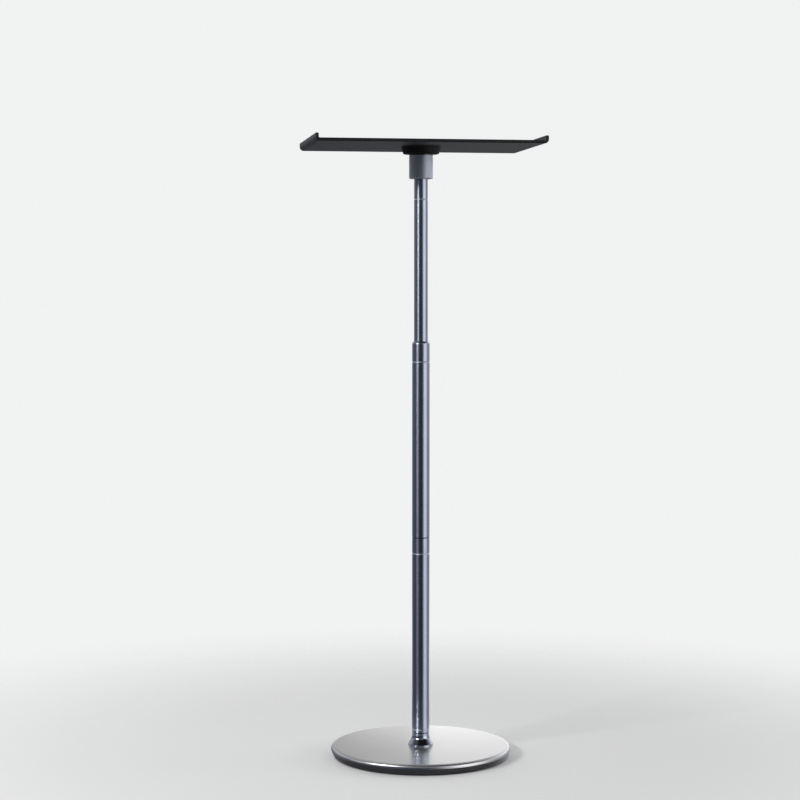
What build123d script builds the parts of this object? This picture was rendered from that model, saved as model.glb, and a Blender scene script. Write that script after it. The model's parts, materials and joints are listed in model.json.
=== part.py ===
"""Portable projector stand.

A weighted round base, a pole of two screwed tubes with a third that telescopes out of them,
and a flat tray with turned-up sides that swivels on the pole's head.

Millimetres, +Z up. The origin is on the floor, under the pole. The tray's long side is along X,
and a projector on it faces -Y.
"""

import os

from build123d import *

# Base: a spun metal cover over a steel weight, standing on rubber feet.
BASE_DIAMETER = 290.0
BASE_HEIGHT = 16.0
BASE_EDGE_RADIUS = 5.0
SKIRT_TAPER_HEIGHT = 9.0
SKIRT_INSET = 4.0
SKIRT_BLEND_RADIUS = 12.0
COVER_WALL = 1.5
WEIGHT_THICKNESS = 8.0
WEIGHT_CLEARANCE = 0.5
WEIGHT_CHAMFER = 1.0
FOOT_COUNT = 6
FOOT_DIAMETER = 24.0
FOOT_REACH = 2.0
FOOT_MARGIN = 8.0
FOOT_TAPER = 10.0
FOOT_EDGE_RADIUS = 0.8

# Fixing bolt, from under the weight up into the pole's socket.
BOLT_DIAMETER = 8.0
BOLT_CLEARANCE = 0.4
BOLT_ENGAGEMENT = 14.0
BOLT_HEAD_DIAMETER = 16.0
BOLT_HEAD_HEIGHT = 4.0
BOLT_HEAD_DOME = 1.6
BOLT_KEY_WIDTH = 5.0
BOLT_KEY_DEPTH = 2.4
COUNTERBORE_MARGIN = 2.0
COUNTERBORE_SPARE_DEPTH = 0.5

# Flared socket at the foot of the pole.
SOCKET_FOOT_DIAMETER = 40.5
SOCKET_RIM_HEIGHT = 1.8
SOCKET_FLARE_HEIGHT = 12.6
SOCKET_FLARE_BLEND = 12.0
SOCKET_HEIGHT = 20.4

# Lower and middle tubes, alike but for the middle one's turned-in mouth.
TUBE_DIAMETER = 28.0
TUBE_WALL = 1.5
TUBE_LENGTH = 317.0
TUBE_END_CHAMFER = 0.8
MOUTH_RADIUS = 5.4
MOUTH_CLEARANCE = 0.3
SPIGOT_CLEARANCE = 0.1
SPIGOT_LENGTH = 19.0
SPIGOT_CHAMFER = 1.0
COUPLING_DEPTH = 34.0

# Rolled rings that hold the fittings inside the tubes, by their distance from a tube's end.
RING_RADIUS = 1.6
RING_DEPTH = 0.5
FOOT_RING_FROM_END = 5.0
LOWER_RING_FROM_END = 26.0
MIDDLE_RING_FROM_END = 34.0
UPPER_RING_FROM_COLLAR = 32.7

# Upper tube, drawn right out of the middle one, with its guide and its twist lock.
UPPER_DIAMETER = 22.0
UPPER_WALL = 1.5
UPPER_REACH = 258.6
UPPER_OVERLAP = 42.0
SLIDE_CLEARANCE = 0.1
BUSH_FIT = 0.05
BUSH_LENGTH = 30.0
LOCK_CLEARANCE = 0.2
LOCK_FIT = 0.05
LOCK_LENGTH = 12.0
LOCK_SPIGOT_LENGTH = 16.0
LOCK_SLOT_WIDTH = 1.2
LOCK_CHAMFER = 0.8

# Collar on top of the upper tube, with the pin that the tray turns on.
COLLAR_DIAMETER = 38.0
COLLAR_HEIGHT = 38.0
COLLAR_SEAT_DEPTH = 18.0
COLLAR_FIT = 0.05
COLLAR_CHAMFER = 1.0
PIN_DIAMETER = 12.0
PIN_ENGAGEMENT = 7.0
PIN_CLEARANCE = 0.05
PIN_END_GAP = 0.6
WASHER_DIAMETER = 34.0
WASHER_THICKNESS = 1.0
WASHER_CLEARANCE = 0.2
SWIVEL_GAP = 0.2

# Hub under the tray.
HUB_TOP_DIAMETER = 64.0
HUB_FOOT_DIAMETER = 57.0
HUB_HEIGHT = 11.0
HUB_EDGE_RADIUS = 2.0

# Tray: one plate with its two short sides turned up.
TRAY_WIDTH = 365.0
TRAY_DEPTH = 230.0
TRAY_THICKNESS = 5.0
TRAY_LIP_HEIGHT = 12.5
TRAY_BEND_RADIUS = 6.5
TRAY_LIP_CORNER_RADIUS = 2.5
TRAY_EDGE_RADIUS = 1.2
TRAY_SCREW_COUNT = 4
TRAY_SCREW_CIRCLE = 44.0
TRAY_SCREW_HOLE = 4.5
TRAY_SCREW_HEAD = 8.6
HUB_PILOT_HOLE = 4.0
HUB_PILOT_DEPTH = 7.0

# Heights above the floor, from the feet up.
cover_bottom = FOOT_REACH
base_top = cover_bottom + BASE_HEIGHT
weight_top = base_top - COVER_WALL
weight_bottom = weight_top - WEIGHT_THICKNESS
socket_top = base_top + SOCKET_HEIGHT
seam = socket_top + TUBE_LENGTH
mouth = seam + TUBE_LENGTH
upper_bottom = mouth - UPPER_OVERLAP
collar_bottom = mouth + UPPER_REACH
collar_top = collar_bottom + COLLAR_HEIGHT
upper_top = collar_bottom + COLLAR_SEAT_DEPTH
hub_bottom = collar_top + WASHER_THICKNESS + SWIVEL_GAP
hub_top = hub_bottom + HUB_HEIGHT
tray_top = hub_top + TRAY_THICKNESS
pin_top = hub_bottom + PIN_ENGAGEMENT

# Radii that two or more pieces share.
base_radius = BASE_DIAMETER / 2
skirt_radius = base_radius - SKIRT_INSET
weight_radius = base_radius - max(BASE_EDGE_RADIUS, SKIRT_INSET + COVER_WALL) - WEIGHT_CLEARANCE
tube_radius = TUBE_DIAMETER / 2
tube_bore = tube_radius - TUBE_WALL
spigot_radius = tube_bore - SPIGOT_CLEARANCE
upper_radius = UPPER_DIAMETER / 2
upper_bore = upper_radius - UPPER_WALL
pin_radius = PIN_DIAMETER / 2
bolt_hole_radius = (BOLT_DIAMETER + BOLT_CLEARANCE) / 2
counterbore_radius = BOLT_HEAD_DIAMETER / 2 + COUNTERBORE_MARGIN
counterbore_depth = BOLT_HEAD_HEIGHT + COUNTERBORE_SPARE_DEPTH


def level(height):
    """The horizontal plane at a height above the floor."""
    return Plane.XY.offset(height)


def cut_ring(radius, height):
    """Rolls one ring into the outside of the tube being built."""
    with Locations((0, 0, height)):
        Torus(radius - RING_DEPTH + RING_RADIUS, RING_RADIUS, mode=Mode.SUBTRACT)


def save(piece, name):
    """Labels a finished piece and writes its file."""
    piece.part.label = name
    export_step(piece.part, f"parts/{name}.step")


os.makedirs("parts", exist_ok=True)

# Base cover: a shallow spun pan, upside down, with a rounded edge and a skirt that draws in.
with BuildPart() as base_cover:
    with BuildSketch(Plane.XZ) as cover_profile:
        with BuildLine():
            Polyline(
                (0, cover_bottom),
                (skirt_radius, cover_bottom),
                (base_radius, cover_bottom + SKIRT_TAPER_HEIGHT),
                (base_radius, base_top),
                (0, base_top),
                close=True,
            )
        make_face()
        bulge, rim = cover_profile.vertices().group_by(Axis.X)[-1].sort_by(Axis.Y)
        fillet(rim, BASE_EDGE_RADIUS)
        fillet(bulge, SKIRT_BLEND_RADIUS)
    revolve(axis=Axis.Z)
    offset(amount=-COVER_WALL, openings=base_cover.faces().sort_by(Axis.Z)[0])
    with Locations(level(base_top)):
        Hole(bolt_hole_radius)
save(base_cover, "base_cover")

# Base weight: a steel disc against the underside of the cover, bored from below for the bolt.
with BuildPart() as base_weight:
    with BuildSketch(level(weight_bottom)):
        Circle(weight_radius)
    extrude(amount=WEIGHT_THICKNESS)
    chamfer(base_weight.edges().group_by(Axis.Z)[0], WEIGHT_CHAMFER)
    with Locations(Plane((0, 0, weight_bottom), z_dir=(0, 0, -1))):
        CounterBoreHole(bolt_hole_radius, counterbore_radius, counterbore_depth)
save(base_weight, "base_weight")

# Rubber feet, in a ring near the weight's edge.
foot_ring = PolarLocations(weight_radius - FOOT_MARGIN - FOOT_DIAMETER / 2, FOOT_COUNT)
for number, spot in enumerate(foot_ring.locations, start=1):
    with BuildPart() as rubber_foot:
        with BuildSketch(Plane((spot.position.X, spot.position.Y, weight_bottom))):
            Circle(FOOT_DIAMETER / 2)
        extrude(amount=-weight_bottom, taper=FOOT_TAPER)
        fillet(rubber_foot.edges().group_by(Axis.Z)[0], FOOT_EDGE_RADIUS)
    save(rubber_foot, f"rubber_foot_{number}")

# Fixing bolt: a low domed head in the weight's counterbore, and a shank up into the socket.
bolt_seat = weight_bottom + counterbore_depth
with BuildPart() as fixing_bolt:
    with BuildSketch(level(bolt_seat)):
        Circle(BOLT_HEAD_DIAMETER / 2)
    extrude(amount=-BOLT_HEAD_HEIGHT)
    fillet(fixing_bolt.edges().group_by(Axis.Z)[0], BOLT_HEAD_DOME)
    with BuildSketch(level(bolt_seat)):
        Circle(BOLT_DIAMETER / 2)
    extrude(amount=base_top + BOLT_ENGAGEMENT - bolt_seat)
    with BuildSketch(level(bolt_seat - BOLT_HEAD_HEIGHT)):
        RegularPolygon(BOLT_KEY_WIDTH / 2, side_count=6, major_radius=False)
    extrude(amount=BOLT_KEY_DEPTH, mode=Mode.SUBTRACT)
save(fixing_bolt, "fixing_bolt")

# Pole socket: a rim on the base, a cone that blends into the tube's line, and a spigot inside the tube.
with BuildPart() as pole_socket:
    with BuildSketch(Plane.XZ) as socket_profile:
        with BuildLine():
            Polyline(
                (0, base_top),
                (SOCKET_FOOT_DIAMETER / 2, base_top),
                (SOCKET_FOOT_DIAMETER / 2, base_top + SOCKET_RIM_HEIGHT),
                (tube_radius, base_top + SOCKET_FLARE_HEIGHT),
                (tube_radius, socket_top),
                (spigot_radius, socket_top),
                (spigot_radius, socket_top + SPIGOT_LENGTH),
                (0, socket_top + SPIGOT_LENGTH),
                close=True,
            )
        make_face()
        neck = socket_profile.vertices().group_by(Axis.Y)[2]
        fillet(neck, SOCKET_FLARE_BLEND)
    revolve(axis=Axis.Z)
    chamfer(pole_socket.edges().group_by(Axis.Z)[-1], SPIGOT_CHAMFER)
    shoulder = pole_socket.edges().filter_by_position(Axis.Z, socket_top, socket_top)
    chamfer(shoulder.sort_by(SortBy.RADIUS)[-1], TUBE_END_CHAMFER)
    with Locations(Plane((0, 0, base_top), z_dir=(0, 0, -1))):
        Hole(bolt_hole_radius, depth=BOLT_ENGAGEMENT + BOLT_CLEARANCE)
save(pole_socket, "pole_socket")

# Lower tube, with a ring rolled in near each end.
with BuildPart() as lower_tube:
    with BuildSketch(level(socket_top)):
        Circle(tube_radius)
        Circle(tube_bore, mode=Mode.SUBTRACT)
    extrude(amount=TUBE_LENGTH)
    rims = lower_tube.edges().filter_by(GeomType.CIRCLE).group_by(SortBy.RADIUS)[-1]
    chamfer(rims, TUBE_END_CHAMFER)
    cut_ring(tube_radius, socket_top + FOOT_RING_FROM_END)
    cut_ring(tube_radius, seam - LOWER_RING_FROM_END)
save(lower_tube, "lower_tube")

# Tube coupling: the plug inside the seam that the two tubes screw together on.
with BuildPart() as tube_coupling:
    with BuildSketch(level(seam - COUPLING_DEPTH)):
        Circle(spigot_radius)
    extrude(amount=COUPLING_DEPTH + SPIGOT_LENGTH)
    ends = tube_coupling.edges().filter_by(GeomType.CIRCLE)
    chamfer(ends, SPIGOT_CHAMFER)
save(tube_coupling, "tube_coupling")

# Middle tube: a tube whose wall turns in at the top to a mouth round the upper tube.
with BuildPart() as middle_tube:
    with BuildSketch(level(seam)):
        Circle(tube_radius)
    extrude(amount=TUBE_LENGTH)
    fillet(middle_tube.edges().group_by(Axis.Z)[-1], MOUTH_RADIUS)
    offset(amount=-TUBE_WALL, openings=middle_tube.faces().sort_by(Axis.Z)[0])
    with Locations(level(mouth)):
        Hole(upper_radius + MOUTH_CLEARANCE)
    foot_rims = middle_tube.edges().group_by(Axis.Z)[0]
    chamfer(foot_rims.sort_by(SortBy.RADIUS)[-1], TUBE_END_CHAMFER)
    cut_ring(tube_radius, mouth - MIDDLE_RING_FROM_END)
save(middle_tube, "middle_tube")

# Guide bush: a nylon sleeve under the mouth that the upper tube runs in.
with BuildPart() as guide_bush:
    with BuildSketch(level(mouth - MOUTH_RADIUS - BUSH_LENGTH)):
        Circle(tube_bore - BUSH_FIT)
        Circle(upper_radius + SLIDE_CLEARANCE, mode=Mode.SUBTRACT)
    extrude(amount=BUSH_LENGTH)
save(guide_bush, "guide_bush")

# Upper tube, from inside the middle one up to its seat in the collar.
with BuildPart() as upper_tube:
    with BuildSketch(level(upper_bottom)):
        Circle(upper_radius)
        Circle(upper_bore, mode=Mode.SUBTRACT)
    extrude(amount=upper_top - upper_bottom)
    cut_ring(upper_radius, collar_bottom - UPPER_RING_FROM_COLLAR)
save(upper_tube, "upper_tube")

# Lock plug: the split nylon end of the upper tube that grips the middle one when it is twisted.
with BuildPart() as lock_plug:
    with BuildSketch(level(upper_bottom - LOCK_LENGTH)):
        Circle(tube_bore - LOCK_CLEARANCE)
    extrude(amount=LOCK_LENGTH)
    chamfer(lock_plug.edges().filter_by(GeomType.CIRCLE), LOCK_CHAMFER)
    with BuildSketch(level(upper_bottom - LOCK_LENGTH)):
        Rectangle(TUBE_DIAMETER, LOCK_SLOT_WIDTH)
    extrude(amount=LOCK_LENGTH / 2, mode=Mode.SUBTRACT)
    with BuildSketch(level(upper_bottom)):
        Circle(upper_bore - LOCK_FIT)
    extrude(amount=LOCK_SPIGOT_LENGTH)
save(lock_plug, "lock_plug")

# Collar: a turned block with the tube's seat below and the swivel pin above.
with BuildPart() as collar:
    with BuildSketch(level(collar_bottom)):
        Circle(COLLAR_DIAMETER / 2)
    extrude(amount=COLLAR_HEIGHT)
    chamfer(collar.edges().filter_by(GeomType.CIRCLE), COLLAR_CHAMFER)
    with BuildSketch(level(collar_top)):
        Circle(pin_radius)
    extrude(amount=pin_top - collar_top)
    with Locations(Plane((0, 0, collar_bottom), z_dir=(0, 0, -1))):
        Hole(upper_radius + COLLAR_FIT, depth=COLLAR_SEAT_DEPTH)
save(collar, "collar")

# Swivel washer, between the collar and the hub.
with BuildPart() as swivel_washer:
    with BuildSketch(level(collar_top)):
        Circle(WASHER_DIAMETER / 2)
        Circle(pin_radius + WASHER_CLEARANCE, mode=Mode.SUBTRACT)
    extrude(amount=WASHER_THICKNESS)
save(swivel_washer, "swivel_washer")

# Tray hub: a shallow cone that turns on the pin, with pilot holes for the tray's screws.
with BuildPart() as tray_hub:
    with BuildSketch(level(hub_bottom)):
        Circle(HUB_FOOT_DIAMETER / 2)
    with BuildSketch(level(hub_top)):
        Circle(HUB_TOP_DIAMETER / 2)
    loft()
    fillet(tray_hub.edges().group_by(Axis.Z)[0], HUB_EDGE_RADIUS)
    with Locations(Plane((0, 0, hub_bottom), z_dir=(0, 0, -1))):
        Hole(pin_radius + PIN_CLEARANCE, depth=PIN_ENGAGEMENT + PIN_END_GAP)
    with Locations(level(hub_top)):
        with PolarLocations(TRAY_SCREW_CIRCLE / 2, TRAY_SCREW_COUNT, start_angle=45):
            Hole(HUB_PILOT_HOLE / 2, depth=HUB_PILOT_DEPTH)
save(tray_hub, "tray_hub")

# Tray: a plate bent up at its two short sides, with rounded edges and countersunk screw holes.
with BuildPart() as tray:
    with BuildSketch(Plane.XZ) as tray_profile:
        with Locations((0, hub_top)):
            Rectangle(TRAY_WIDTH, TRAY_LIP_HEIGHT, align=(Align.CENTER, Align.MIN))
        fillet(tray_profile.vertices().group_by(Axis.Y)[0], TRAY_BEND_RADIUS)
        with BuildSketch(Plane.XZ, mode=Mode.PRIVATE) as hollow:
            with Locations((0, tray_top)):
                Rectangle(TRAY_WIDTH - 2 * TRAY_THICKNESS, TRAY_LIP_HEIGHT, align=(Align.CENTER, Align.MIN))
            fillet(hollow.vertices().group_by(Axis.Y)[0], TRAY_BEND_RADIUS - TRAY_THICKNESS)
        add(hollow.sketch_local, mode=Mode.SUBTRACT)
    extrude(amount=TRAY_DEPTH / 2, both=True)
    lip_ends = tray.edges().filter_by(Axis.X).group_by(Axis.Z)[-1]
    fillet(lip_ends, TRAY_LIP_CORNER_RADIUS)
    end_faces = tray.faces().filter_by(Axis.Y)
    fillet(end_faces.edges(), TRAY_EDGE_RADIUS)
    with Locations(level(tray_top)):
        with PolarLocations(TRAY_SCREW_CIRCLE / 2, TRAY_SCREW_COUNT, start_angle=45):
            CounterSinkHole(TRAY_SCREW_HOLE / 2, TRAY_SCREW_HEAD / 2, depth=TRAY_THICKNESS)
save(tray, "tray")
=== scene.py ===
"""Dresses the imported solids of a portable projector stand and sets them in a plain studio.

Metres, in the frame of the solids: the origin on the floor under the pole, +Z up, the tray's long
side along X, and the front towards -Y.
"""

import json
import logging
import math
from dataclasses import dataclass, replace
from enum import Enum

import bmesh
import bpy
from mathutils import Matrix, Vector


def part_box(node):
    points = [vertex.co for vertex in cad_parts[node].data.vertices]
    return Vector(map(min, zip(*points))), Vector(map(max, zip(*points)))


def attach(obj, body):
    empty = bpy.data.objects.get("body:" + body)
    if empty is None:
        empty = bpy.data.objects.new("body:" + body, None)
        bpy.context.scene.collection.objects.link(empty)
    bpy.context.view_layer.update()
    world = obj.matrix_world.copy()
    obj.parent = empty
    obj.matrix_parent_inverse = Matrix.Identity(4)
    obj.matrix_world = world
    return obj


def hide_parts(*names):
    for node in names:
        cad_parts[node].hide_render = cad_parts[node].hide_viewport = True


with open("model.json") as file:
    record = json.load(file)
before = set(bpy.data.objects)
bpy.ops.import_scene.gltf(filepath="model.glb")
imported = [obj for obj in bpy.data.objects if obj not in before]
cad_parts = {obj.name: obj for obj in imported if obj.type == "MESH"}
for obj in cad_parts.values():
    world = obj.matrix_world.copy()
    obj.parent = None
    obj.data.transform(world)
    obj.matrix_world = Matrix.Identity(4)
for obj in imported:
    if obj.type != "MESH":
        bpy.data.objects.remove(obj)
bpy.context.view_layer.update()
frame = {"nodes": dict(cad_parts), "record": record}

LOG = logging.getLogger("projector_stand")
MILLIMETRE = 0.001
MICROMETRE = 0.000001

Colour = tuple[float, float, float]
Profile = list[tuple[float, float]]


class Body(Enum):
    """The rigid bodies that pieces made here ride on."""

    STAND = "stand"
    HEAD = "head"


class Slot(Enum):
    """Two of the record's material slots, by name. Nothing here uses them."""

    FOOT_RUBBER = "foot_rubber"
    BOLT_STEEL = "bolt_steel"


class Grain(Enum):
    """How the fine marks on a surface run."""

    DRAWN = "lines along the pole"
    TURNED = "rings round the pole's axis"
    SPECKLED = "even all over"


class NodeSheet:
    """A node tree with short ways to add and join its nodes."""

    def __init__(self, tree: bpy.types.NodeTree) -> None:
        """Empties the tree.

        Args:
            tree: The shader or geometry tree to build in.
        """
        self.tree = tree
        self.tree.nodes.clear()

    def add(self, kind: str, inputs: dict | None = None, **settings: object) -> bpy.types.Node:
        """Adds one node.

        Args:
            kind: The node's type name.
            inputs: Values by the name or index of an input. A socket there is joined to it.
            settings: Properties of the node itself.

        Returns:
            The new node.
        """
        node = self.tree.nodes.new(kind)
        for name, value in settings.items():
            setattr(node, name, value)
        for key, value in (inputs or {}).items():
            if isinstance(value, bpy.types.NodeSocket):
                self.tree.links.new(value, node.inputs[key])
            else:
                node.inputs[key].default_value = value
        return node

    def math(self, operation: str, *values: object) -> bpy.types.NodeSocket:
        """Adds a sum on numbers.

        Args:
            operation: The Math node's operation.
            values: Its operands, as numbers or sockets.

        Returns:
            The result's socket.
        """
        node = self.add("ShaderNodeMath", dict(enumerate(values)), operation=operation)
        return node.outputs[0]

    def vector_math(
        self, operation: str, *values: object, result: str = "Vector"
    ) -> bpy.types.NodeSocket:
        """Adds a sum on vectors.

        Args:
            operation: The Vector Math node's operation.
            values: Its operands, as vectors or sockets.
            result: The output to give, Vector or Value.

        Returns:
            The result's socket.
        """
        node = self.add("ShaderNodeVectorMath", dict(enumerate(values)), operation=operation)
        return node.outputs[result]

    def spread(
        self, value: bpy.types.NodeSocket, low: float, high: float, start: float = 0.0, end: float = 1.0
    ) -> bpy.types.NodeSocket:
        """Maps a value evenly onto a range.

        Args:
            value: The value's socket.
            low: The result at the start.
            high: The result at the end.
            start: The value that gives the low result.
            end: The value that gives the high result.

        Returns:
            The result's socket.
        """
        limits = {"From Min": start, "From Max": end, "To Min": low, "To Max": high}
        return self.add("ShaderNodeMapRange", {"Value": value, **limits}).outputs["Result"]

    def step(self, value: bpy.types.NodeSocket, start: float, end: float) -> bpy.types.NodeSocket:
        """Adds a soft step from 0 to 1.

        Args:
            value: The value's socket.
            start: Where the step starts.
            end: Where it ends.

        Returns:
            The step's socket.
        """
        limits = {"Value": value, "From Min": start, "From Max": end}
        return self.add("ShaderNodeMapRange", limits, interpolation_type="SMOOTHSTEP").outputs["Result"]

    def mix(self, share: bpy.types.NodeSocket, first: object, second: object) -> bpy.types.NodeSocket:
        """Mixes two colours.

        Args:
            share: The second colour's share, from 0 to 1.
            first: The first colour, as four numbers or a socket.
            second: The second colour, as four numbers or a socket.

        Returns:
            The mixed colour's socket.
        """
        node = self.add("ShaderNodeMix", {0: share, 6: first, 7: second}, data_type="RGBA")
        return node.outputs[2]

    def ramp(
        self, value: bpy.types.NodeSocket, stops: list[tuple[float, Colour]]
    ) -> bpy.types.NodeSocket:
        """Adds a colour ramp.

        Args:
            value: Where on the ramp to read, from 0 to 1.
            stops: The ramp's places and colours, in order.

        Returns:
            The colour's socket.
        """
        node = self.add("ShaderNodeValToRGB", {"Fac": value})
        elements = node.color_ramp.elements
        elements.remove(elements[1])
        for index, (place, colour) in enumerate(stops):
            element = elements[0] if index == 0 else elements.new(place)
            element.position = place
            element.color = (*colour, 1.0)
        return node.outputs["Color"]


# What grain, patches, the rings' pale bands of painted highlight and worn-off anodising, and the seams'
# dark lines of painted shade look like on every finish.
MARK_NOISE = {"Scale": 1.0, "Detail": 3.0, "Roughness": 0.6}
PATCH_NOISE = {"Detail": 4.0, "Roughness": 0.55}
PATCH_RAMP = (0.3, 0.7)
# Painted highlight: the rings' pale colour stands in for the light line they catch, as well as for
# worn-off anodising.
RING_WEAR_AND_HIGHLIGHT: Colour = (0.78, 0.83, 0.92)
RING_MARK_ROUGHNESS = 0.62
RING_REACH = 1.1 * MILLIMETRE
# Painted shade: the seams' dark colour stands in for the shade in the gap where two pieces meet.
SEAM_PAINTED_SHADE: Colour = (0.04, 0.045, 0.055)
SEAM_SHADE_REACH = 0.5 * MILLIMETRE
RING_SOFTNESS = 0.3
MATT_STEP = 1.0 * MILLIMETRE
DRAWN_STRETCH = 0.004
QUARTER_TURN = 0.25


@dataclass(frozen=True)
class Finish:
    """A surface with fine marks in its gloss, its relief and its tone.

    Attributes:
        name: The material's name.
        colour: Its mean colour, linear.
        metallic: The share of it that mirrors as bare metal does.
        roughness: Its mean roughness.
        roughness_spread: How far the marks move the roughness each way.
        grain: How the marks run.
        grain_size: The spacing of the marks.
        grain_depth: The height of the marks' relief.
        tone_spread: How far broad patches move the colour each way, as a share of it.
        patch_size: The size of those patches.
        upright_blur: How far the gloss is drawn out along the pole, from 0 to 1.
        rings: Heights of the rolled rings, drawn pale and rough as worn-off anodising and as a painted
            highlight, the light line that the rings catch.
        seams: Heights where two pieces meet, drawn as a dark line of painted shade, the shade in the
            gap between them.
        matt_share: The share of the light that the piece's top scatters and doesn't mirror.
        matt_from: The height from which up the piece does that.
        edge_blur: How much rougher the piece is below that height.
    """

    name: str
    colour: Colour
    metallic: float
    roughness: float
    roughness_spread: float
    grain: Grain
    grain_size: float
    grain_depth: float
    tone_spread: float = 0.04
    patch_size: float = 50.0 * MILLIMETRE
    upright_blur: float = 0.0
    rings: tuple[float, ...] = ()
    seams: tuple[float, ...] = ()
    matt_share: float = 0.0
    matt_from: float = 0.0
    edge_blur: float = 0.0

    def build(self) -> bpy.types.Material:
        """Makes the material.

        Returns:
            The material, with its marks on Object coordinates.
        """
        material = bpy.data.materials.new(self.name)
        material.use_nodes = True
        sheet = NodeSheet(material.node_tree)
        place = sheet.add("ShaderNodeTexCoord").outputs["Object"]
        marks = self._marks(sheet, place)
        low, high = self.roughness - self.roughness_spread, self.roughness + self.roughness_spread
        tone, gloss = self._tone(sheet, place), sheet.spread(marks, low, high)
        # Painted highlight: each rolled ring is drawn pale and rough, as the light line it catches and
        # as worn-off anodising.
        for height in self.rings:
            ring_highlight_and_wear = self._ring(sheet, place, height, RING_REACH)
            tone = sheet.mix(ring_highlight_and_wear, tone, (*RING_WEAR_AND_HIGHLIGHT, 1.0))
            gloss = sheet.math("MAXIMUM", gloss, sheet.math("MULTIPLY", ring_highlight_and_wear, RING_MARK_ROUGHNESS))
        # Painted shade: a dark line is drawn at each seam, as the shade in the gap between the two
        # pieces.
        for height in self.seams:
            seam = self._ring(sheet, place, height, SEAM_SHADE_REACH)
            tone = sheet.mix(seam, tone, (*SEAM_PAINTED_SHADE, 1.0))
        metallic = self.metallic
        if self.matt_share:
            level = sheet.add("ShaderNodeSeparateXYZ", {0: place}).outputs["Z"]
            top = sheet.step(level, self.matt_from - MATT_STEP, self.matt_from)
            metallic = sheet.spread(top, self.metallic, self.metallic - self.matt_share)
            gloss = sheet.math("ADD", gloss, sheet.spread(top, self.edge_blur, 0.0))
        bump = sheet.add(
            "ShaderNodeBump", {"Height": marks, "Strength": 1.0, "Distance": self.grain_depth}
        )
        shader = sheet.add(
            "ShaderNodeBsdfPrincipled",
            {
                "Base Color": tone,
                "Metallic": metallic,
                "Roughness": gloss,
                "Normal": bump.outputs["Normal"],
                "Anisotropic": self.upright_blur,
            },
        )
        if self.upright_blur:
            tangent = sheet.add("ShaderNodeTangent", direction_type="RADIAL", axis="Z").outputs[0]
            sheet.tree.links.new(tangent, shader.inputs["Tangent"])
            shader.inputs["Anisotropic Rotation"].default_value = QUARTER_TURN
        sheet.add("ShaderNodeOutputMaterial", {"Surface": shader.outputs["BSDF"]})
        return material

    def _marks(self, sheet: NodeSheet, place: bpy.types.NodeSocket) -> bpy.types.NodeSocket:
        """Draws the fine marks.

        Args:
            sheet: The material's tree.
            place: The Object coordinates.

        Returns:
            A value about 0.5 whose ups and downs are the marks.
        """
        scale = 1.0 / self.grain_size
        if self.grain is Grain.TURNED:
            axes = sheet.add("ShaderNodeSeparateXYZ", {0: place}).outputs
            flat = sheet.add("ShaderNodeCombineXYZ", {0: axes[0], 1: axes[1]}).outputs[0]
            radius = sheet.vector_math("LENGTH", flat, result="Value")
            rings = sheet.add("ShaderNodeCombineXYZ", {0: radius, 1: axes[2]}).outputs[0]
            place = sheet.vector_math("MULTIPLY", rings, (scale, scale, scale))
        else:
            along = scale * DRAWN_STRETCH if self.grain is Grain.DRAWN else scale
            place = sheet.vector_math("MULTIPLY", place, (scale, scale, along))
        return sheet.add("ShaderNodeTexNoise", {"Vector": place, **MARK_NOISE}).outputs[0]

    def _tone(self, sheet: NodeSheet, place: bpy.types.NodeSocket) -> bpy.types.NodeSocket:
        """Draws the broad patches of tone.

        Args:
            sheet: The material's tree.
            place: The Object coordinates.

        Returns:
            The colour's socket.
        """
        patches = sheet.add(
            "ShaderNodeTexNoise", {"Vector": place, "Scale": 1.0 / self.patch_size, **PATCH_NOISE}
        )
        dark = tuple(channel * (1.0 - self.tone_spread) for channel in self.colour)
        light = tuple(channel * (1.0 + self.tone_spread) for channel in self.colour)
        return sheet.ramp(patches.outputs[0], list(zip(PATCH_RAMP, (dark, light))))

    def _ring(
        self, sheet: NodeSheet, place: bpy.types.NodeSocket, height: float, reach: float
    ) -> bpy.types.NodeSocket:
        """Draws one level ring.

        Args:
            sheet: The material's tree.
            place: The Object coordinates.
            height: The ring's height.
            reach: How far it reaches up and down from there.

        Returns:
            A value that is 1 on the ring and 0 away from it.
        """
        level = sheet.add("ShaderNodeSeparateXYZ", {0: place}).outputs["Z"]
        away = sheet.math("ABSOLUTE", sheet.math("SUBTRACT", level, height))
        return sheet.step(away, reach * (1.0 + RING_SOFTNESS), reach * (1.0 - RING_SOFTNESS))


POLE_METAL = Finish(
    "pole_anodised",
    (0.42, 0.455, 0.54),
    metallic=1.0,
    roughness=0.30,
    roughness_spread=0.02,
    grain=Grain.DRAWN,
    grain_size=0.3 * MILLIMETRE,
    grain_depth=0.4 * MICROMETRE,
    upright_blur=0.72,
)
COLLAR_METAL = Finish(
    "collar_anodised",
    (0.48, 0.51, 0.58),
    metallic=0.55,
    roughness=0.47,
    roughness_spread=0.04,
    grain=Grain.TURNED,
    grain_size=0.4 * MILLIMETRE,
    grain_depth=3.0 * MICROMETRE,
)
SOCKET_METAL = Finish(
    "socket_polished",
    (0.42, 0.45, 0.52),
    metallic=1.0,
    roughness=0.13,
    roughness_spread=0.02,
    grain=Grain.TURNED,
    grain_size=0.5 * MILLIMETRE,
    grain_depth=1.0 * MICROMETRE,
)
BASE_METAL = Finish(
    "base_satin",
    (0.74, 0.74, 0.75),
    metallic=1.0,
    roughness=0.25,
    roughness_spread=0.02,
    grain=Grain.TURNED,
    grain_size=0.5 * MILLIMETRE,
    grain_depth=4.0 * MICROMETRE,
    tone_spread=0.02,
)
TRAY_COAT = Finish(
    "tray_powder_coat",
    (0.013, 0.013, 0.014),
    metallic=0.0,
    roughness=0.42,
    roughness_spread=0.08,
    grain=Grain.SPECKLED,
    grain_size=0.7 * MILLIMETRE,
    grain_depth=40.0 * MICROMETRE,
    tone_spread=0.10,
)
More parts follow.
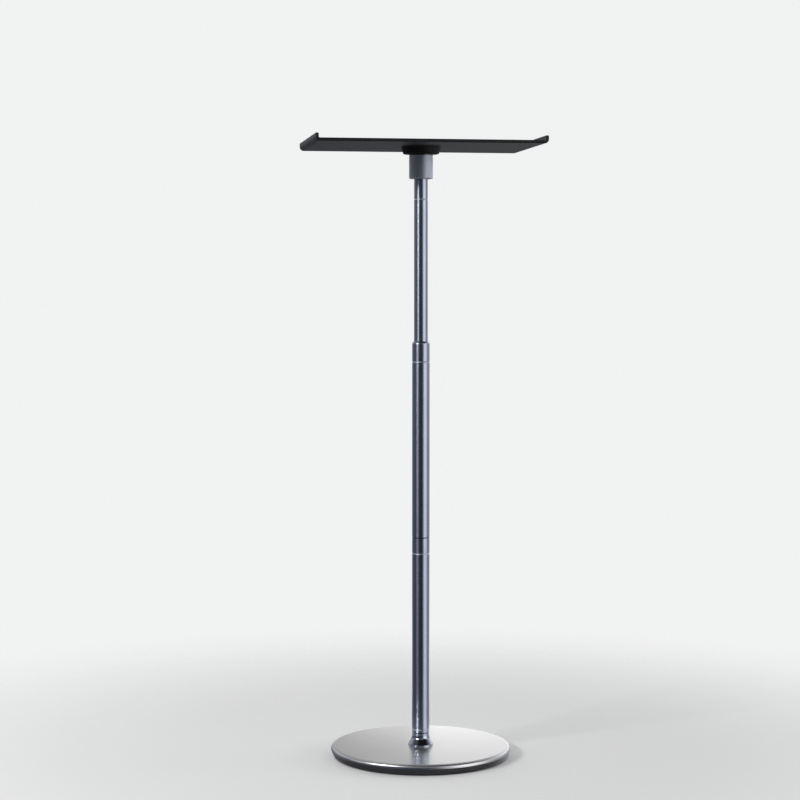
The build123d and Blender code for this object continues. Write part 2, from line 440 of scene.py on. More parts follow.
HUB_COAT = Finish(
    "hub_black",
    (0.006, 0.006, 0.0065),
    metallic=0.0,
    roughness=0.62,
    roughness_spread=0.06,
    grain=Grain.SPECKLED,
    grain_size=0.5 * MILLIMETRE,
    grain_depth=20.0 * MICROMETRE,
    tone_spread=0.08,
)
WEIGHT_PAINT = Finish(
    "weight_paint",
    (0.03, 0.03, 0.032),
    metallic=0.0,
    roughness=0.50,
    roughness_spread=0.10,
    grain=Grain.SPECKLED,
    grain_size=2.5 * MILLIMETRE,
    grain_depth=60.0 * MICROMETRE,
    tone_spread=0.12,
)
FOOT_RUBBER = Finish(
    "foot_rubber",
    (0.020, 0.020, 0.020),
    metallic=0.0,
    roughness=0.78,
    roughness_spread=0.08,
    grain=Grain.SPECKLED,
    grain_size=0.6 * MILLIMETRE,
    grain_depth=30.0 * MICROMETRE,
    tone_spread=0.12,
)
NYLON = Finish(
    "black_nylon",
    (0.022, 0.022, 0.023),
    metallic=0.0,
    roughness=0.42,
    roughness_spread=0.06,
    grain=Grain.TURNED,
    grain_size=0.4 * MILLIMETRE,
    grain_depth=10.0 * MICROMETRE,
)
BOLT_ZINC = Finish(
    "zinc_plate",
    (0.62, 0.63, 0.64),
    metallic=1.0,
    roughness=0.30,
    roughness_spread=0.08,
    grain=Grain.TURNED,
    grain_size=0.4 * MILLIMETRE,
    grain_depth=6.0 * MICROMETRE,
    tone_spread=0.06,
    patch_size=4.0 * MILLIMETRE,
)
SCREW_BLACK = Finish(
    "black_oxide",
    (0.07, 0.07, 0.075),
    metallic=1.0,
    roughness=0.34,
    roughness_spread=0.08,
    grain=Grain.SPECKLED,
    grain_size=0.4 * MILLIMETRE,
    grain_depth=10.0 * MICROMETRE,
    tone_spread=0.10,
    patch_size=3.0 * MILLIMETRE,
)


class Wardrobe:
    """The finishes in use, each made once."""

    def __init__(self) -> None:
        """Starts with no material made."""
        self.made: dict[str, bpy.types.Material] = {}

    def get(self, finish: Finish) -> bpy.types.Material:
        """Gives a finish's material.

        Args:
            finish: The finish.

        Returns:
            Its material, made now if this is its first use.
        """
        if finish.name not in self.made:
            self.made[finish.name] = finish.build()
        return self.made[finish.name]

    def dress_node(self, node: str, finish: Finish) -> None:
        """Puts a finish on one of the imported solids.

        Args:
            node: The solid's name.
            finish: Its finish.
        """
        for slot in frame["nodes"][node].material_slots:
            slot.material = self.get(finish)
        LOG.info("dressed %s in %s", node, finish.name)


def lathe(profile: Profile, segments: int, name: str) -> bpy.types.Mesh:
    """Turns a profile about the Z axis into a closed mesh.

    Args:
        profile: Radius and height of each point, from the top's centre down to the bottom's centre.
        segments: How many steps make a turn.
        name: The mesh's name.

    Returns:
        The mesh, with its faces outwards.
    """
    sculpt = bmesh.new()
    rings = []
    for radius, height in profile:
        if radius == 0.0:
            rings.append([sculpt.verts.new((0.0, 0.0, height))])
            continue
        turns = [2 * math.pi * step / segments for step in range(segments)]
        points = [(radius * math.cos(turn), radius * math.sin(turn), height) for turn in turns]
        rings.append([sculpt.verts.new(point) for point in points])
    for upper, lower in zip(rings, rings[1:]):
        for step in range(segments):
            following = (step + 1) % segments
            corners = [upper[step % len(upper)], lower[step % len(lower)]]
            corners += [lower[following % len(lower)], upper[following % len(upper)]]
            sculpt.faces.new(list(dict.fromkeys(corners)))
    bmesh.ops.recalc_face_normals(sculpt, faces=sculpt.faces)
    mesh = bpy.data.meshes.new(name)
    sculpt.to_mesh(mesh)
    sculpt.free()
    return mesh


def smooth_by_angle(mesh: bpy.types.Mesh, degrees: float) -> None:
    """Shades a mesh smooth, with its sharp edges kept.

    Args:
        mesh: The mesh.
        degrees: Edges that turn by more than this stay sharp.
    """
    mesh.shade_smooth()
    mesh.set_sharp_from_angle(angle=math.radians(degrees))


@dataclass
class RingOfCopies:
    """Copies of one mesh set out evenly on a level ring by a Geometry Nodes tree.

    Attributes:
        count: How many copies.
        radius: The ring's radius.
        height: The level of the copies' own origin.
        first_angle: Where on the ring the first copy stands, in radians from +X.
    """

    count: int
    radius: float
    height: float
    first_angle: float = 0.0

    def build(self, copy: bpy.types.Mesh, name: str, material: bpy.types.Material) -> bpy.types.Object:
        """Sets out the copies and makes them one plain mesh.

        Args:
            copy: The mesh to repeat. Its origin goes on the ring.
            name: The new piece's name.
            material: The piece's material.

        Returns:
            The piece, at the origin, with no modifier left.
        """
        pattern = bpy.data.objects.new(f"{name}_pattern", copy)
        piece = bpy.data.objects.new(name, bpy.data.meshes.new(name))
        for made in (pattern, piece):
            bpy.context.scene.collection.objects.link(made)
        tree, sockets = self._tree(f"{name}_ring")
        modifier = piece.modifiers.new("ring", "NODES")
        modifier.node_group = tree
        values = {
            "Copy": pattern,
            "Count": self.count,
            "Ring radius": self.radius,
            "Height": self.height,
            "First angle": self.first_angle,
            "Finish": material,
        }
        for label, value in values.items():
            modifier[sockets[label]] = value
        bpy.context.view_layer.update()
        evaluated = piece.evaluated_get(bpy.context.evaluated_depsgraph_get())
        mesh = bpy.data.meshes.new_from_object(evaluated)
        piece.modifiers.clear()
        piece.data = mesh
        mesh.name = name
        bpy.data.objects.remove(pattern)
        return piece

    def _tree(self, name: str) -> tuple[bpy.types.NodeTree, dict[str, str]]:
        """Builds the tree.

        Args:
            name: The tree's name.

        Returns:
            The tree, and the identifier of each of its named inputs.
        """
        tree = bpy.data.node_groups.new(name, "GeometryNodeTree")
        kinds = {
            "Copy": "NodeSocketObject",
            "Count": "NodeSocketInt",
            "Ring radius": "NodeSocketFloat",
            "Height": "NodeSocketFloat",
            "First angle": "NodeSocketFloat",
            "Finish": "NodeSocketMaterial",
        }
        sockets = {}
        for label, kind in kinds.items():
            socket = tree.interface.new_socket(label, in_out="INPUT", socket_type=kind)
            sockets[label] = socket.identifier
        tree.interface.new_socket("Geometry", in_out="OUTPUT", socket_type="NodeSocketGeometry")
        sheet = NodeSheet(tree)
        given = sheet.add("NodeGroupInput").outputs
        ring = sheet.add(
            "GeometryNodeMeshCircle", {"Vertices": given["Count"], "Radius": given["Ring radius"]}
        )
        lift = sheet.add("ShaderNodeCombineXYZ", {"Z": given["Height"]})
        turn = sheet.add("ShaderNodeCombineXYZ", {"Z": given["First angle"]})
        spin = sheet.add("FunctionNodeEulerToRotation", {0: turn.outputs[0]})
        placed = sheet.add(
            "GeometryNodeTransform",
            {"Geometry": ring.outputs[0], "Translation": lift.outputs[0], "Rotation": spin.outputs[0]},
        )
        single = sheet.add("GeometryNodeObjectInfo", {"Object": given["Copy"], "As Instance": True})
        copies = sheet.add(
            "GeometryNodeInstanceOnPoints",
            {"Points": placed.outputs[0], "Instance": single.outputs["Geometry"]},
        )
        solid = sheet.add("GeometryNodeRealizeInstances", {"Geometry": copies.outputs[0]})
        dressed = sheet.add(
            "GeometryNodeSetMaterial", {"Geometry": solid.outputs[0], "Material": given["Finish"]}
        )
        sheet.add("NodeGroupOutput", {"Geometry": dressed.outputs[0]})
        return tree, sockets


@dataclass
class Base:
    """The weighted base, its feet and its bolt.

    Attributes:
        top_matt: The share of the light that the cover's top scatters.
        top_margin: How far below the cover's highest point its flat top ends.
        edge_blur: How much rougher the cover's rolled edge is than its top.
        foot_draft: Degrees that a foot's side leans in towards the sole.
        foot_segments: Steps in a foot's turn.
        foot_crease: Edges of a foot that turn by more degrees than this stay sharp.
        sole_edge: Radius of the sole's rounded edge.
        edge_steps: Steps in that edge.
        rib_count: Rings moulded into each foot's sole.
        rib_depth: Their depth.
        rib_start: Where a ring starts, as a share of the rings' spacing.
        rib_flank: The width of each side of a ring, as such a share.
        rib_floor: The width of a ring's floor, as such a share.
    """

    top_matt: float = 0.10
    top_margin: float = 0.1 * MILLIMETRE
    edge_blur: float = 0.09
    foot_draft: float = 10.0
    foot_segments: int = 64
    foot_crease: float = 40.0
    sole_edge: float = 0.8 * MILLIMETRE
    edge_steps: int = 4
    rib_count: int = 3
    rib_depth: float = 0.5 * MILLIMETRE
    rib_start: float = 0.6
    rib_flank: float = 0.1
    rib_floor: float = 0.2

    def build(self, wardrobe: Wardrobe) -> None:
        """Dresses the base and moulds its feet.

        Args:
            wardrobe: The finishes.
        """
        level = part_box("base_cover")[1].z - self.top_margin
        satin = replace(BASE_METAL, matt_share=self.top_matt, matt_from=level, edge_blur=self.edge_blur)
        wardrobe.dress_node("base_cover", satin)
        wardrobe.dress_node("base_weight", WEIGHT_PAINT)
        wardrobe.dress_node("fixing_bolt", BOLT_ZINC)
        self._mould_feet(wardrobe)

    def _mould_feet(self, wardrobe: Wardrobe) -> None:
        """Makes the ribbed rubber feet, in place of the plain solids.

        Args:
            wardrobe: The finishes.
        """
        nodes = sorted(name for name in frame["nodes"] if name.startswith("rubber_foot_"))
        low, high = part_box(nodes[0])
        centre = (low + high) / 2
        top_radius = (high.y - low.y) / 2
        sole_radius = top_radius - (high.z - low.z) * math.tan(math.radians(self.foot_draft))
        profile = self._foot_profile(top_radius, sole_radius, high.z)
        mesh = lathe(profile, self.foot_segments, "rubber_foot")
        smooth_by_angle(mesh, self.foot_crease)
        radius, angle = math.hypot(centre.x, centre.y), math.atan2(centre.y, centre.x)
        ring = RingOfCopies(len(nodes), radius, low.z, angle)
        feet = ring.build(mesh, "rubber_feet", wardrobe.get(FOOT_RUBBER))
        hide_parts(*nodes)
        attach(feet, Body.STAND.value)
        LOG.info("moulded %s", feet.name)

    def _foot_profile(self, top_radius: float, sole_radius: float, height: float) -> Profile:
        """Draws half a foot's section.

        Args:
            top_radius: Radius where the foot meets the weight.
            sole_radius: Radius of the sole.
            height: The foot's height.

        Returns:
            The profile, from the top's centre down to the sole's centre.
        """
        edge = self.sole_edge
        profile = [(0.0, height), (top_radius, height), (sole_radius, edge)]
        for step in range(1, self.edge_steps + 1):
            angle = math.pi / 2 * step / self.edge_steps
            profile.append((sole_radius - edge * (1 - math.cos(angle)), edge * (1 - math.sin(angle))))
        pitch = (sole_radius - edge) / (self.rib_count + 1)
        flank, floor = pitch * self.rib_flank, pitch * self.rib_floor
        for rib in range(self.rib_count):
            outer = sole_radius - edge - pitch * (rib + self.rib_start)
            inner = outer - flank - floor
            profile += [(outer, 0.0), (outer - flank, self.rib_depth)]
            profile += [(inner, self.rib_depth), (inner - flank, 0.0)]
        profile.append((0.0, 0.0))
        return profile


@dataclass
class Pole:
    """The socket and tubes, and what is inside them.

    Attributes:
        foot_ring: The lowest ring's distance from the lower tube's foot.
        lower_ring: The next ring's distance from that tube's top.
        middle_ring: The ring's distance from the middle tube's foot.
        upper_ring: The ring's distance below the collar.
        moulded: The nylon pieces.
    """

    foot_ring: float = 5.0 * MILLIMETRE
    lower_ring: float = 26.0 * MILLIMETRE
    middle_ring: float = 283.0 * MILLIMETRE
    upper_ring: float = 32.7 * MILLIMETRE
    moulded: tuple[str, ...] = ("guide_bush", "lock_plug", "swivel_washer")

    def build(self, wardrobe: Wardrobe) -> None:
        """Dresses the pole.

        Args:
            wardrobe: The finishes.
        """
        wardrobe.dress_node("pole_socket", SOCKET_METAL)
        wardrobe.dress_node("collar", COLLAR_METAL)
        wardrobe.dress_node("tube_coupling", POLE_METAL)
        # The lower tube's two ends, where the tubes meet and a dark line of painted shade is drawn.
        seams = tuple(corner.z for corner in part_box("lower_tube"))
        # Each tube's rolled rings get a pale band of painted highlight and worn-off anodising.
        for node, rings in self._rings().items():
            tube = replace(POLE_METAL, name=f"{node}_anodised", rings=rings, seams=seams)
            wardrobe.dress_node(node, tube)
        for node in self.moulded:
            wardrobe.dress_node(node, NYLON)

    def _rings(self) -> dict[str, tuple[float, ...]]:
        """Gives the heights of each tube's rings."""
        foot, seam = (corner.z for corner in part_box("lower_tube"))
        return {
            "lower_tube": (foot + self.foot_ring, seam - self.lower_ring),
            "middle_tube": (seam + self.middle_ring,),
            "upper_tube": (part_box("collar")[0].z - self.upper_ring,),
        }


@dataclass
class Head:
    """The tray, its hub and its screws.

    Attributes:
        screw_count: How many screws hold the tray.
        screw_circle: Radius of the circle that they stand on.
        screw_angle: Where on it the first one stands, in radians.
        head_radius: A screw head's radius.
        shank_radius: A screw shank's radius.
        screw_length: A screw's length.
        head_rim: Height of the straight rim of a screw's head.
        key_width: The socket's width across its flats.
        key_depth: The socket's depth.
        head_drop: How far a head lies below the tray's face.
        key_sides: Sides of the socket.
        side_steps: Steps in each of those sides.
        screw_crease: Edges of a screw that turn by more degrees than this stay sharp.
    """

    screw_count: int = 4
    screw_circle: float = 22.0 * MILLIMETRE
    screw_angle: float = math.pi / 4
    head_radius: float = 4.15 * MILLIMETRE
    shank_radius: float = 1.9 * MILLIMETRE
    screw_length: float = 9.5 * MILLIMETRE
    head_rim: float = 0.25 * MILLIMETRE
    key_width: float = 2.5 * MILLIMETRE
    key_depth: float = 1.5 * MILLIMETRE
    head_drop: float = 0.12 * MILLIMETRE
    key_sides: int = 6
    side_steps: int = 6
    screw_crease: float = 30.0

    def build(self, wardrobe: Wardrobe) -> None:
        """Dresses the tray and its hub, and makes the screws.

        Args:
            wardrobe: The finishes.
        """
        wardrobe.dress_node("tray", TRAY_COAT)
        wardrobe.dress_node("tray_hub", HUB_COAT)
        tray_face = next(m["pos_m"][2] for m in frame["record"]["mounts"] if m["name"] == "tray_top")
        height = tray_face - self.head_drop
        ring = RingOfCopies(self.screw_count, self.screw_circle, height, self.screw_angle)
        screws = ring.build(self._screw(), "tray_screws", wardrobe.get(SCREW_BLACK))
        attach(screws, Body.HEAD.value)
        LOG.info("turned %s", screws.name)

    def _screw(self) -> bpy.types.Mesh:
        """Makes one countersunk screw with a hexagon socket, its face at height 0.

        Returns:
            The screw's mesh.
        """
        around = self.key_sides * self.side_steps
        cone = self.head_radius - self.shank_radius
        rim = self.head_rim
        rings = [
            [self._hexagon(step) + Vector((0, 0, -self.key_depth)) for step in range(around)],
            [self._hexagon(step) for step in range(around)],
            [self._circle(step, self.head_radius - rim / 2, 0.0) for step in range(around)],
            [self._circle(step, self.head_radius, -rim / 2) for step in range(around)],
            [self._circle(step, self.head_radius, -rim) for step in range(around)],
            [self._circle(step, self.shank_radius, -rim - cone) for step in range(around)],
            [self._circle(step, self.shank_radius, -self.screw_length) for step in range(around)],
        ]
        sculpt = bmesh.new()
        loops = [[sculpt.verts.new(point) for point in ring] for ring in rings]
        for inner, outer in zip(loops, loops[1:]):
            for step in range(around):
                following = (step + 1) % around
                sculpt.faces.new((inner[step], inner[following], outer[following], outer[step]))
        sculpt.faces.new(loops[0])
        sculpt.faces.new(list(reversed(loops[-1])))
        bmesh.ops.recalc_face_normals(sculpt, faces=sculpt.faces)
        mesh = bpy.data.meshes.new("tray_screw")
        sculpt.to_mesh(mesh)
        sculpt.free()
        smooth_by_angle(mesh, self.screw_crease)
        return mesh

    def _circle(self, step: int, radius: float, height: float) -> Vector:
        """Gives a point of a level circle about the screw's axis."""
        angle = 2 * math.pi * step / (self.key_sides * self.side_steps)
        return Vector((radius * math.cos(angle), radius * math.sin(angle), height))

    def _hexagon(self, step: int) -> Vector:
        """Gives a point of the socket's hexagon, on the same ray as the circle's.

        Args:
            step: Which point of the ring it is.

        Returns:
            The point, at height 0.
        """
        angle = 2 * math.pi * step / (self.key_sides * self.side_steps)
        side = 2 * math.pi / self.key_sides
        reach = self.key_width / 2 / math.cos((angle % side) - side / 2)
        return Vector((reach * math.cos(angle), reach * math.sin(angle), 0.0))


@dataclass
class PhotoCamera:
    """A camera where the photograph's was.

    Attributes:
        distance: Level distance from the pole's axis.
        azimuth: Degrees from straight ahead round to the front left.
        height: Height above the floor.
        yaw: Degrees that it is turned past the pole.
        pitch: Degrees that it looks down.
        focal_pixels: Focal length in pixels of the photograph.
        frame_pixels: The photograph's side in pixels.
        sensor_width: Width of the sensor, in millimetres.
    """

    distance: float = 3.193
    azimuth: float = 9.6
    height: float = 0.750
    yaw: float = -0.603
    pitch: float = 3.10
    focal_pixels: float = 1989.0
    frame_pixels: float = 800.0
    sensor_width: float = 36.0

    def level_way(self, degrees: float) -> Vector:
        """Gives the level direction so many degrees from the camera's side round to the right."""
        angle = math.radians(self.azimuth - degrees)
        return Vector((-math.sin(angle), -math.cos(angle), 0.0))

    def build(self) -> None:
        """Makes the camera the scene's own."""
        data = bpy.data.cameras.new("photo_camera")
        data.sensor_width = self.sensor_width
        data.lens = self.sensor_width * self.focal_pixels / self.frame_pixels
        camera = bpy.data.objects.new("photo_camera", data)
        camera.location = self.level_way(0.0) * self.distance + Vector((0.0, 0.0, self.height))
        turn = -math.radians(self.azimuth + self.yaw)
        camera.rotation_euler = (math.pi / 2 - math.radians(self.pitch), 0.0, turn)
        bpy.context.scene.collection.objects.link(camera)
        bpy.context.scene.camera = camera
        LOG.info("camera at %.3f m, lens %.1f mm", self.distance, data.lens)


@dataclass(frozen=True)
class SoftBox:
    """A soft-edged patch of light in the room that polished metal mirrors.

    Attributes:
        across: Degrees from the camera's side round to the right where the patch starts, is first full,
            is last full and ends.
        upward: The same four places in degrees above the level.
        light: Its brightness.
    """

    across: tuple[float, float, float, float]
    upward: tuple[float, float, float, float]
    light: float

    def draw(
        self, sheet: NodeSheet, way: bpy.types.NodeSocket, camera: PhotoCamera
    ) -> bpy.types.NodeSocket:
        """Draws the patch.

        Args:
            sheet: The world's tree.
            way: The direction that is looked in.
            camera: The photograph's camera.

        Returns:
            The patch's brightness in that direction.
        """
        middle = (self.across[1] + self.across[2]) / 2
        ahead, aside = tuple(camera.level_way(middle)), tuple(camera.level_way(middle + 90.0))
        facing = sheet.vector_math("DOT_PRODUCT", way, ahead, result="Value")
        beside = sheet.vector_math("DOT_PRODUCT", way, aside, result="Value")
        turn = sheet.math("DEGREES", sheet.math("ARCTAN2", beside, facing))
        rise = sheet.add("ShaderNodeSeparateXYZ", {0: way}).outputs["Z"]
        climb = sheet.math("DEGREES", sheet.math("ARCSINE", rise))
        start, full, last, end = (place - middle for place in self.across)
        low, clear, high, top = self.upward
        width = sheet.math("MULTIPLY", sheet.step(turn, start, full), sheet.step(turn, end, last))
        height = sheet.math("MULTIPLY", sheet.step(climb, low, clear), sheet.step(climb, top, high))
        return sheet.math("MULTIPLY", sheet.math("MULTIPLY", width, height), self.light)


ALL_ROUND = (-400, -300, 300, 400)


@dataclass(frozen=True)
class MirroredRoom:
    """The dim room that the polished metal mirrors, lit from the right, with pale walls behind.

    Attributes:
        right_bank: The broad lamp that draws the bright band on the tubes.
        left_wing: The faint wall on the left.
        front_screen: The faint screen over the camera, which the base's top mirrors towards the back.
        left_screen: The same on the left, which the base's top mirrors towards the right.
        right_screen: The same on the right.
        left_rear: The wall behind on the left, for the tubes' left edge.
        right_rear: The wall behind on the right, for the tubes' right edge.
        left_wall: The wall that the left of the base's top mirrors.
        right_wall: The wall that the right of the base's top mirrors.
        dome: The faint light overhead.
        ground: Where the floor is.
        ground_colour: The floor's colour.
        sky: Where the ceiling is.
        sky_colour: The ceiling's colour.
        gloom: The colour that is left where no lamp shines.
    """

    right_bank: SoftBox = SoftBox((20, 54, 58, 116), (-20, -12, 18, 28), 1.70)
    left_wing: SoftBox = SoftBox((-125, -100, -70, -52), (-12, 6, 26, 36), 0.10)
    front_screen: SoftBox = SoftBox((-75, -45, 30, 50), (10, 16, 32, 42), 0.22)
    left_screen: SoftBox = SoftBox((-150, -120, -70, -55), (9, 14, 28, 40), 0.25)
    right_screen: SoftBox = SoftBox((60, 85, 120, 140), (11, 16, 28, 40), 0.30)
    left_rear: SoftBox = SoftBox((-200, -150, -120, -95), (-34, -16, 3, 10), 0.12)
    right_rear: SoftBox = SoftBox((95, 125, 160, 195), (-34, -16, 3, 10), 0.40)
    left_wall: SoftBox = SoftBox((176, 184, 225, 262), (2, 8, 22, 36), 0.50)
    right_wall: SoftBox = SoftBox((98, 135, 176, 184), (2, 8, 22, 36), 1.12)
    dome: SoftBox = SoftBox((95, 130, 230, 265), (25, 45, 100, 120), 0.45)
    ground: SoftBox = SoftBox(ALL_ROUND, (-400, -300, -22, -14), 1.0)
    ground_colour: Colour = (0.031, 0.031, 0.033)
    sky: SoftBox = SoftBox(ALL_ROUND, (12, 32, 100, 120), 1.0)
    sky_colour: Colour = (0.012, 0.012, 0.014)
    gloom: Colour = (0.003, 0.016, 0.042)

    def colour(self, sheet: NodeSheet, camera: PhotoCamera) -> bpy.types.NodeSocket:
        """Draws the room.

        Args:
            sheet: The world's tree.
            camera: The photograph's camera.

        Returns:
            The colour seen in each direction.
        """
        way = sheet.add("ShaderNodeTexCoord").outputs["Generated"]
        below, above = self.ground.draw(sheet, way, camera), self.sky.draw(sheet, way, camera)
        room = sheet.mix(below, (*self.gloom, 1.0), (*self.ground_colour, 1.0))
        room = sheet.mix(above, room, (*self.sky_colour, 1.0))
        for box in vars(self).values():
            if isinstance(box, SoftBox) and box not in (self.ground, self.sky):
                room = sheet.vector_math("ADD", room, box.draw(sheet, way, camera))
        return room


@dataclass(frozen=True)
class Floor:
    """A pale round floor that fades into the room, and is clear from below.

    Attributes:
        colour: Its colour.
        radius: Its radius.
        fade_start: Where it starts to fade into the room.
        fade_end: Where it has faded, as a share of its radius.
        segments: Steps in its turn.
    """

    colour: Colour = (0.93, 0.935, 0.94)
    radius: float = 1.3
    fade_start: float = 0.35
    fade_end: float = 0.98
    segments: int = 96

    def build(self) -> None:
        """Lays the floor. Metal mirrors the room in its place, so the base's skirt stays dark."""
        mesh = bpy.data.meshes.new("floor")
        sculpt = bmesh.new()
        bmesh.ops.create_circle(sculpt, cap_ends=True, segments=self.segments, radius=self.radius)
        sculpt.to_mesh(mesh)
        sculpt.free()
        floor = bpy.data.objects.new("floor", mesh)
        floor.visible_glossy = False
        bpy.context.scene.collection.objects.link(floor)
        material = bpy.data.materials.new("floor_pale")
        material.use_nodes = True
        sheet = NodeSheet(material.node_tree)
        place = sheet.add("ShaderNodeTexCoord").outputs["Object"]
        reach = sheet.vector_math("LENGTH", place, result="Value")
        below = sheet.add("ShaderNodeNewGeometry").outputs["Backfacing"]
        faded = sheet.step(reach, self.fade_start, self.radius * self.fade_end)
        matt = sheet.add("ShaderNodeBsdfDiffuse", {"Color": (*self.colour, 1.0)})
        clear = sheet.add("ShaderNodeBsdfTransparent")
        mixed = sheet.add(
            "ShaderNodeMixShader",
            {0: sheet.math("MAXIMUM", faded, below), 1: matt.outputs[0], 2: clear.outputs[0]},
        )
        sheet.add("ShaderNodeOutputMaterial", {"Surface": mixed.outputs[0]})
        mesh.materials.append(material)


@dataclass(frozen=True)
class Card:
    """A glowing card behind the base, for metal alone to mirror, that melts into the room.

    Attributes:
        distance: How far behind the pole it stands.
        size: Its width and height.
        left_glow: Its glow at the foot and at the top, on the left.
        right_glow: The same on the right.
        climb: The heights between which the foot's glow turns into the top's.
        join: Half the width of the step from the left glow to the right one.
        left_fade: How far to the right of the pole, so below 0, the left glow starts and ends its fall.
        left_dim: The share of it that is left there.
        side_edge: How far from the pole each side starts and ends its melting.
        top_edge: The heights between which the top melts.
    """

    distance: float = 0.45
    size: tuple[float, float] = (0.64, 0.30)
    left_glow: tuple[float, float] = (1.03, 0.16)
    right_glow: tuple[float, float] = (1.43, 0.56)
    climb: tuple[float, float] = (0.05, 0.22)
    join: float = 0.03
    left_fade: tuple[float, float] = (-0.02, -0.20)
    left_dim: float = 0.65
    side_edge: tuple[float, float] = (0.20, 0.30)
    top_edge: tuple[float, float] = (0.17, 0.28)

    def build(self, camera: PhotoCamera) -> None:
        """Stands the card up.

        Args:
            camera: The photograph's camera, which it faces.
        """
        width, height = self.size
        right = camera.level_way(90.0)
        foot = camera.level_way(180.0) * self.distance
        rise = Vector((0.0, 0.0, height))
        corners = [foot - right * width / 2, foot + right * width / 2]
        corners += [corners[1] + rise, corners[0] + rise]
        mesh = bpy.data.meshes.new("card")
        mesh.from_pydata(corners, [], [(0, 1, 2, 3)])
        card = bpy.data.objects.new("card", mesh)
        card.visible_camera = card.visible_diffuse = card.visible_shadow = False
        bpy.context.scene.collection.objects.link(card)
        mesh.materials.append(self._glow(right))

    def _glow(self, right: Vector) -> bpy.types.Material:
        """Makes the card's material.

        Args:
            right: The way to the camera's right.

        Returns:
            The material.
        """
        material = bpy.data.materials.new("card_glow")
        material.use_nodes = True
        sheet = NodeSheet(material.node_tree)
        place = sheet.add("ShaderNodeTexCoord").outputs["Object"]
        across = sheet.vector_math("DOT_PRODUCT", place, tuple(right), result="Value")
        level = sheet.add("ShaderNodeSeparateXYZ", {0: place}).outputs["Z"]
        upward = sheet.step(level, *self.climb)
        rightward = sheet.step(across, -self.join, self.join)
        leftward = sheet.spread(sheet.step(across, *self.left_fade), 1.0, self.left_dim)
        right_part = sheet.math("MULTIPLY", sheet.spread(upward, *self.right_glow), rightward)
        left_part = sheet.math("MULTIPLY", sheet.spread(upward, *self.left_glow), leftward)
        left_part = sheet.math("MULTIPLY", left_part, sheet.math("SUBTRACT", 1.0, rightward))
        glow = sheet.add("ShaderNodeEmission", {"Strength": sheet.math("ADD", left_part, right_part)})
        sideways = sheet.step(sheet.math("ABSOLUTE", across), *self.side_edge)
        edge = sheet.math("MAXIMUM", sheet.step(level, *self.top_edge), sideways)
        clear = sheet.add("ShaderNodeBsdfTransparent")
        melted = sheet.add("ShaderNodeMixShader", {0: edge, 1: glow.outputs[0], 2: clear.outputs[0]})
        sheet.add("ShaderNodeOutputMaterial", {"Surface": melted.outputs[0]})
        return material


@dataclass(frozen=True)
class Lamp:
    """An oblong lamp that the camera doesn't see.

    Attributes:
        name: Its name.
        power: Its power in watts.
        size: Its width and height.
        turn: Where it hangs, in degrees from the camera's side round to the right.
        reach: Its level distance from the pole.
        spread: How wide it shines, in degrees.
        mirrored: Whether metal mirrors it.
    """

    name: str
    power: float
    size: tuple[float, float]
    turn: float
    reach: float
    spread: float = 180.0
    mirrored: bool = True

    def build(self, camera: PhotoCamera, height: float, target: float) -> None:
        """Hangs the lamp.

        Args:
            camera: The photograph's camera, which the lamp's place is set out from.
            height: How high it hangs.
            target: The height on the pole that it shines at.
        """
        data = bpy.data.lights.new(self.name, "AREA")
        data.energy = self.power
        data.shape = "RECTANGLE"
        data.size, data.size_y = self.size
        data.spread = math.radians(self.spread)
        lamp = bpy.data.objects.new(self.name, data)
        lamp.location = camera.level_way(self.turn) * self.reach + Vector((0.0, 0.0, height))
        aim = Vector((0.0, 0.0, target)) - lamp.location
        lamp.rotation_euler = aim.to_track_quat("-Z", "Y").to_euler()
        lamp.visible_camera = False
        lamp.visible_glossy = self.mirrored
        bpy.context.scene.collection.objects.link(lamp)


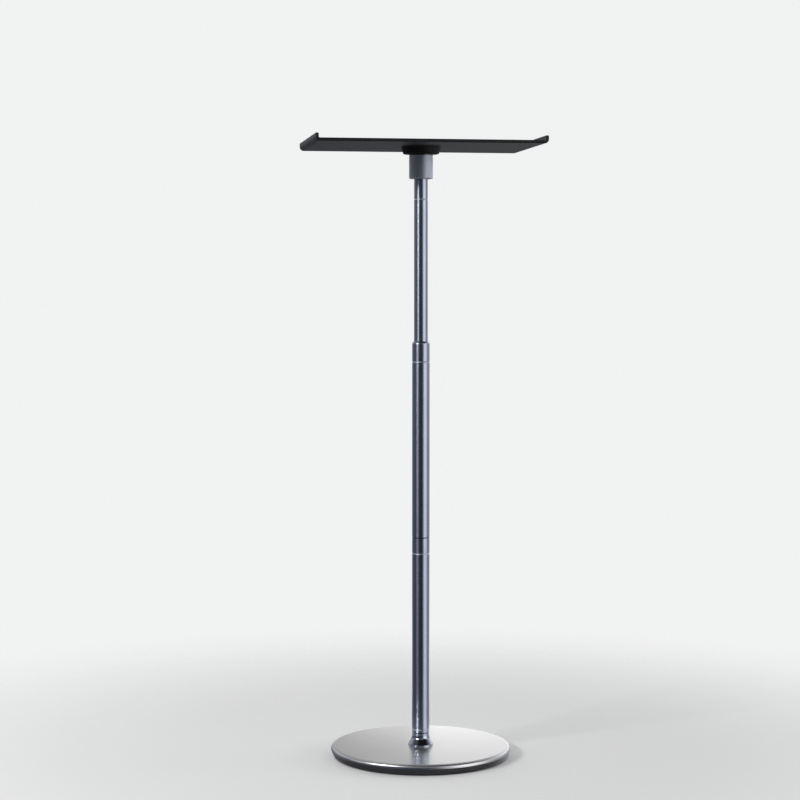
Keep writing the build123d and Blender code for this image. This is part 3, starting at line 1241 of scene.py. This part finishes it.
@dataclass
class Studio:
    """A pale room with a pale floor and soft light.

    Attributes:
        camera: The photograph's camera, which the light is set out from.
        floor: The floor.
        mirrored: What the polished metal mirrors in place of the pale room.
        card: The card that the base's top mirrors.
        left_lamp: The strip lamp at the upper left.
        left_height: How high it hangs.
        right_lamp: The narrow lamp at the right that lights the pole's head.
        pale: The room's colour as the camera sees it.
        front_fill: Strength of the room's soft light from the camera's side.
        back_fill: Strength of it from behind the stand.
        fill_turn: The cosine, towards the camera and away from it, where it stops changing.
    """

    camera: PhotoCamera
    floor: Floor = Floor()
    mirrored: MirroredRoom = MirroredRoom()
    card: Card = Card()
    left_lamp: Lamp = Lamp("left_lamp", 96.0, (1.6, 0.45), turn=-49.0, reach=4.5)
    left_height: float = 2.55
    right_lamp: Lamp = Lamp("right_lamp", 4.4, (1.2, 1.2), 100.0, 1.9, spread=45.0, mirrored=False)
    pale: Colour = (0.88, 0.885, 0.89)
    front_fill: float = 0.12
    back_fill: float = 0.95
    fill_turn: float = 0.7

    def build(self) -> None:
        """Makes the floor, the room and the lamps."""
        bpy.context.scene.view_settings.view_transform = "Standard"
        self.floor.build()
        self._room()
        self.card.build(self.camera)
        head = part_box("collar")[0].z
        self.left_lamp.build(self.camera, self.left_height, head / 2)
        self.right_lamp.build(self.camera, head, head)
        LOG.info("lit the studio")

    def _room(self) -> None:
        """Colours the room: pale to the camera, soft light to matt surfaces, a dim studio to metal."""
        world = bpy.data.worlds.new("room")
        world.use_nodes = True
        bpy.context.scene.world = world
        sheet = NodeSheet(world.node_tree)
        rays = sheet.add("ShaderNodeLightPath").outputs
        way = sheet.add("ShaderNodeTexCoord").outputs["Generated"]
        ahead = tuple(self.camera.level_way(0.0))
        forward = sheet.vector_math("DOT_PRODUCT", way, ahead, result="Value")
        fill = sheet.spread(forward, self.back_fill, self.front_fill, -self.fill_turn, self.fill_turn)
        studio = self.mirrored.colour(sheet, self.camera)
        soft = sheet.add("ShaderNodeBackground", {"Color": (1.0, 1.0, 1.0, 1.0), "Strength": fill})
        seen = sheet.add("ShaderNodeBackground", {"Color": (*self.pale, 1.0), "Strength": 1.0})
        mirrored = sheet.add("ShaderNodeBackground", {"Color": studio, "Strength": 1.0})
        shiny = sheet.math("MAXIMUM", rays["Is Glossy Ray"], rays["Is Transmission Ray"])
        inner = sheet.add("ShaderNodeMixShader", {0: shiny, 1: soft.outputs[0], 2: mirrored.outputs[0]})
        outer = sheet.add(
            "ShaderNodeMixShader", {0: rays["Is Camera Ray"], 1: inner.outputs[0], 2: seen.outputs[0]}
        )
        sheet.add("ShaderNodeOutputWorld", {"Surface": outer.outputs[0]})


def main() -> None:
    """Builds the stand's looks, from the floor up, and then the studio."""
    logging.basicConfig(level=logging.INFO, format="%(name)s: %(message)s")
    wardrobe = Wardrobe()
    Base().build(wardrobe)
    Pole().build(wardrobe)
    Head().build(wardrobe)
    camera = PhotoCamera()
    camera.build()
    Studio(camera).build()


if __name__ == "__main__":
    main()
